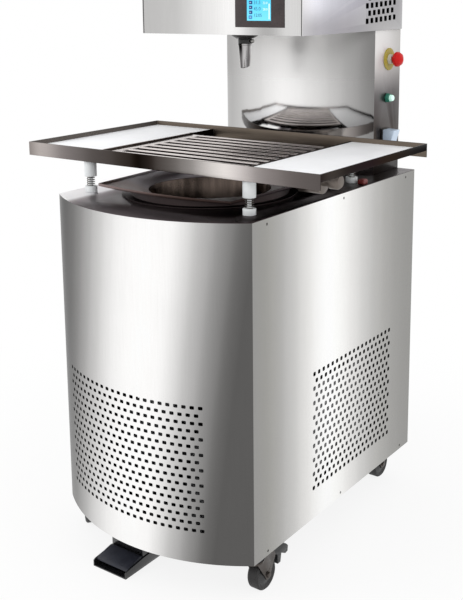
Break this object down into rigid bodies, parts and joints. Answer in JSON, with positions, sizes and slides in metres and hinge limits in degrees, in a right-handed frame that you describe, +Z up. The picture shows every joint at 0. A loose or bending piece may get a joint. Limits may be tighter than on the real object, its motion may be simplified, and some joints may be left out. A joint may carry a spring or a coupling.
{
  "type": "chocolate tempering machine",
  "caption": "Floor-standing tempering machine: curved steel cabinet on castors, tank, auger column with overhanging head and spout, sprung vibrating table.",
  "frame": {"origin": "on the floor, at the centre of the whole machine's footprint box", "axes": "+Z up, -Y towards the operator at the curved front, +X to the machine's right as seen from the front"},
  "size_m": [0.886, 0.895, 1.504],
  "materials": {
    "polished_steel": "polished stainless sheet with a soft vertical sheen",
    "satin_steel": "satin stainless steel",
    "frame_steel": "grey zinc-plated steel",
    "chrome": "bright chrome",
    "dark_fitting": "black moulded fitting",
    "white_board": "white polyethylene board, satin",
    "white_nylon": "white nylon",
    "spring_steel": "bright spring steel",
    "display_black": "dark glossy overlay",
    "screen_blue": "lit liquid-crystal screen behind clear glass",
    "stop_yellow": "olive yellow plastic",
    "stop_red": "red plastic",
    "start_green": "green translucent plastic",
    "plug_white": "pale blue-white plastic",
    "motor_grey": "grey cast housing",
    "compressor_black": "black enamel",
    "fin_aluminium": "aluminium fins",
    "bronze": "bronze bush",
    "tyre_black": "black rubber tyre",
    "castor_zinc": "dark zinc-plated pressing",
    "pedal_black": "black gloss enamel",
    "rubber_black": "black rubber",
    "connector_red": "dull red moulded connector",
    "heater_orange": "silicone rubber heating band"
  },
  "bodies": {
    "cabinet": {"base_frame": "frame_steel", "front_panel": "polished_steel", "right_side_panel": "polished_steel", "left_side_panel": "polished_steel", "rear_panel": "polished_steel", "deck_plate": "polished_steel", "tank_bowl": "satin_steel", "tank_heater_band": "heater_orange", "tank_cover": "satin_steel", "shaft_bushes": "bronze", "stirrer_gearmotor": "motor_grey", "tempering_tube": "satin_steel", "auger_gearmotor": "motor_grey", "feed_pipe": "satin_steel", "outlet_channel": "satin_steel", "compressor": "compressor_black", "condenser": "fin_aluminium", "fan_shroud": "frame_steel", "electrics_box": "motor_grey", "column_shell": "polished_steel", "head_shell": "polished_steel", "head_front_panel": "polished_steel", "head_bottom_plate": "polished_steel", "display_bezel": "display_black", "display_screen": "screen_blue", "spout_flange": "satin_steel", "spout_collar": "dark_fitting", "spout_tube": "chrome", "emergency_stop_plate": "stop_yellow", "emergency_stop_collar": "chrome", "start_button_bezel": "dark_fitting", "table_plug": "plug_white", "table_foot_collars": "white_nylon", "vibrator_connector": "connector_red", "castor_plates": "castor_zinc", "pedal_base": "pedal_black", "pedal_housing": "pedal_black"},
    "table": {"table_frame": "polished_steel", "table_foot_sleeves": "white_nylon", "table_foot_springs": "spring_steel", "vibrator_motor": "motor_grey"},
    "grid": {"bar_grid": "satin_steel"},
    "right_board": {"right_board": "white_board"},
    "left_board": {"left_board": "white_board"},
    "stirrer": {"tank_stirrer": "satin_steel"},
    "auger": {"auger_screw": "satin_steel"},
    "fan": {"fan_rotor": "fin_aluminium"},
    "emergency_stop": {"emergency_stop_button": "stop_red"},
    "start": {"start_button": "start_green"},
    "treadle": {"pedal_treadle": "pedal_black"},
    "fork_front_right": {"castor_fork_front_right": "castor_zinc"},
    "wheel_front_right": {"castor_wheel_front_right": "tyre_black"},
    "brake_front_right": {"castor_brake_front_right": "rubber_black"},
    "fork_front_left": {"castor_fork_front_left": "castor_zinc"},
    "wheel_front_left": {"castor_wheel_front_left": "tyre_black"},
    "brake_front_left": {"castor_brake_front_left": "rubber_black"},
    "fork_rear_right": {"castor_fork_rear_right": "castor_zinc"},
    "wheel_rear_right": {"castor_wheel_rear_right": "tyre_black"},
    "fork_rear_left": {"castor_fork_rear_left": "castor_zinc"},
    "wheel_rear_left": {"castor_wheel_rear_left": "tyre_black"}
  },
  "joints": [
    {"name": "table_shake", "type": "slide", "parent": "cabinet", "child": "table", "axis": [0, 0, 1], "range_m": [-0.005, 0.003], "stiffness_N_per_m": 60000, "springref_m": 0.0022, "deforming": ["table_foot_springs"]},
    {"name": "grid_lift", "type": "slide", "parent": "table", "child": "grid", "axis": [0, 0, 1], "range_m": [0, 0.12]},
    {"name": "right_board_lift", "type": "slide", "parent": "table", "child": "right_board", "axis": [0, 0, 1], "range_m": [0, 0.1]},
    {"name": "left_board_lift", "type": "slide", "parent": "table", "child": "left_board", "axis": [0, 0, 1], "range_m": [0, 0.1]},
    {"name": "stirrer_spin", "type": "hinge", "parent": "cabinet", "child": "stirrer", "pos_m": [0, -0.11, 0.77], "axis": [0, 0, 1], "continuous": true},
    {"name": "auger_spin", "type": "hinge", "parent": "cabinet", "child": "auger", "pos_m": [0, 0.33, 1], "axis": [0, 0, 1], "continuous": true},
    {"name": "fan_spin", "type": "hinge", "parent": "cabinet", "child": "fan", "pos_m": [0.126, 0.085, 0.285], "axis": [1, 0, 0], "continuous": true},
    {"name": "emergency_stop_push", "type": "slide", "parent": "cabinet", "child": "emergency_stop", "axis": [-1, 0, 0], "range_m": [0, 0.004], "stiffness_N_per_m": 2500, "springref_m": -0.002},
    {"name": "start_push", "type": "slide", "parent": "cabinet", "child": "start", "axis": [-1, 0, 0], "range_m": [0, 0.003], "stiffness_N_per_m": 1200, "springref_m": -0.002},
    {"name": "treadle_press", "type": "hinge", "parent": "cabinet", "child": "treadle", "pos_m": [-0.0795, -0.38, 0.024], "axis": [1, 0, 0], "range_deg": [0, 7], "stiffness_Nm_per_rad": 4, "springref_deg": -11.46},
    {"name": "swivel_front_right", "type": "hinge", "parent": "cabinet", "child": "fork_front_right", "pos_m": [0.264, -0.309, 0.1], "axis": [0, 0, 1], "continuous": true},
    {"name": "roll_front_right", "type": "hinge", "parent": "fork_front_right", "child": "wheel_front_right", "pos_m": [0.264, -0.272, 0.04], "axis": [1, 0, 0], "continuous": true},
    {"name": "brake_press_front_right", "type": "hinge", "parent": "fork_front_right", "child": "brake_front_right", "pos_m": [0.264, -0.246, 0.0852], "axis": [-1, 0, 0], "range_deg": [0, 6]},
    {"name": "swivel_front_left", "type": "hinge", "parent": "cabinet", "child": "fork_front_left", "pos_m": [-0.264, -0.309, 0.1], "axis": [0, 0, 1], "continuous": true},
    {"name": "roll_front_left", "type": "hinge", "parent": "fork_front_left", "child": "wheel_front_left", "pos_m": [-0.29234, -0.28522, 0.04], "axis": [0.6428, 0.766, 0], "continuous": true},
    {"name": "brake_press_front_left", "type": "hinge", "parent": "fork_front_left", "child": "brake_front_left", "pos_m": [-0.31226, -0.2685, 0.0852], "axis": [-0.6428, -0.766, 0], "range_deg": [0, 6]},
    {"name": "swivel_rear_right", "type": "hinge", "parent": "cabinet", "child": "fork_rear_right", "pos_m": [0.222, 0.36, 0.1], "axis": [0, 0, 1], "continuous": true},
    {"name": "roll_rear_right", "type": "hinge", "parent": "fork_rear_right", "child": "wheel_rear_right", "pos_m": [0.222, 0.397, 0.04], "axis": [1, 0, 0], "continuous": true},
    {"name": "swivel_rear_left", "type": "hinge", "parent": "cabinet", "child": "fork_rear_left", "pos_m": [-0.222, 0.36, 0.1], "axis": [0, 0, 1], "continuous": true},
    {"name": "roll_rear_left", "type": "hinge", "parent": "fork_rear_left", "child": "wheel_rear_left", "pos_m": [-0.222, 0.397, 0.04], "axis": [1, 0, 0], "continuous": true}
  ]
}
